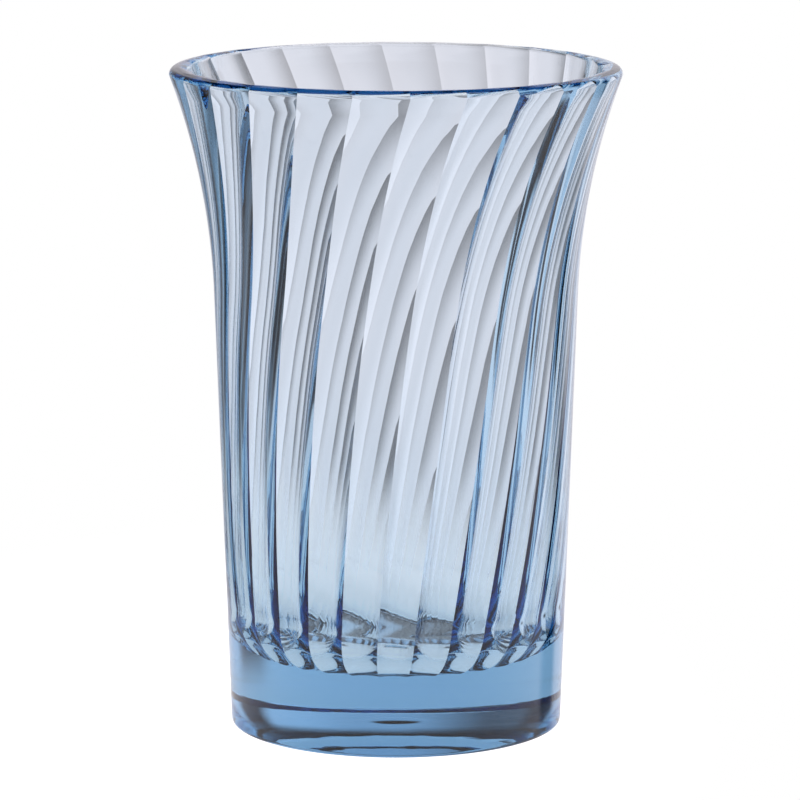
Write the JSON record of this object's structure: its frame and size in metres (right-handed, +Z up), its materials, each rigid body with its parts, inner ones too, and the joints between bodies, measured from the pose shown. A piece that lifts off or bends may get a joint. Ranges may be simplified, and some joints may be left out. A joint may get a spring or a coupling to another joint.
{
  "type": "glass vase",
  "caption": "Round flared vase of thick pale blue glass, smooth outside, with swirling ribs inside and a solid base.",
  "frame": {"origin": "on the vase's axis, at the flat surface that it stands on", "axes": "+Z up along the vase's axis, from the base to the mouth; X and Y are any two directions across it, because the vase is round"},
  "size_m": [0.1356, 0.1356, 0.2],
  "materials": {
    "pale_blue_glass": "clear, fire-polished, pale blue through the whole thickness"
  },
  "bodies": {
    "root": {"ribbed_body": "pale_blue_glass", "solid_base": "pale_blue_glass"}
  },
  "joints": []
}
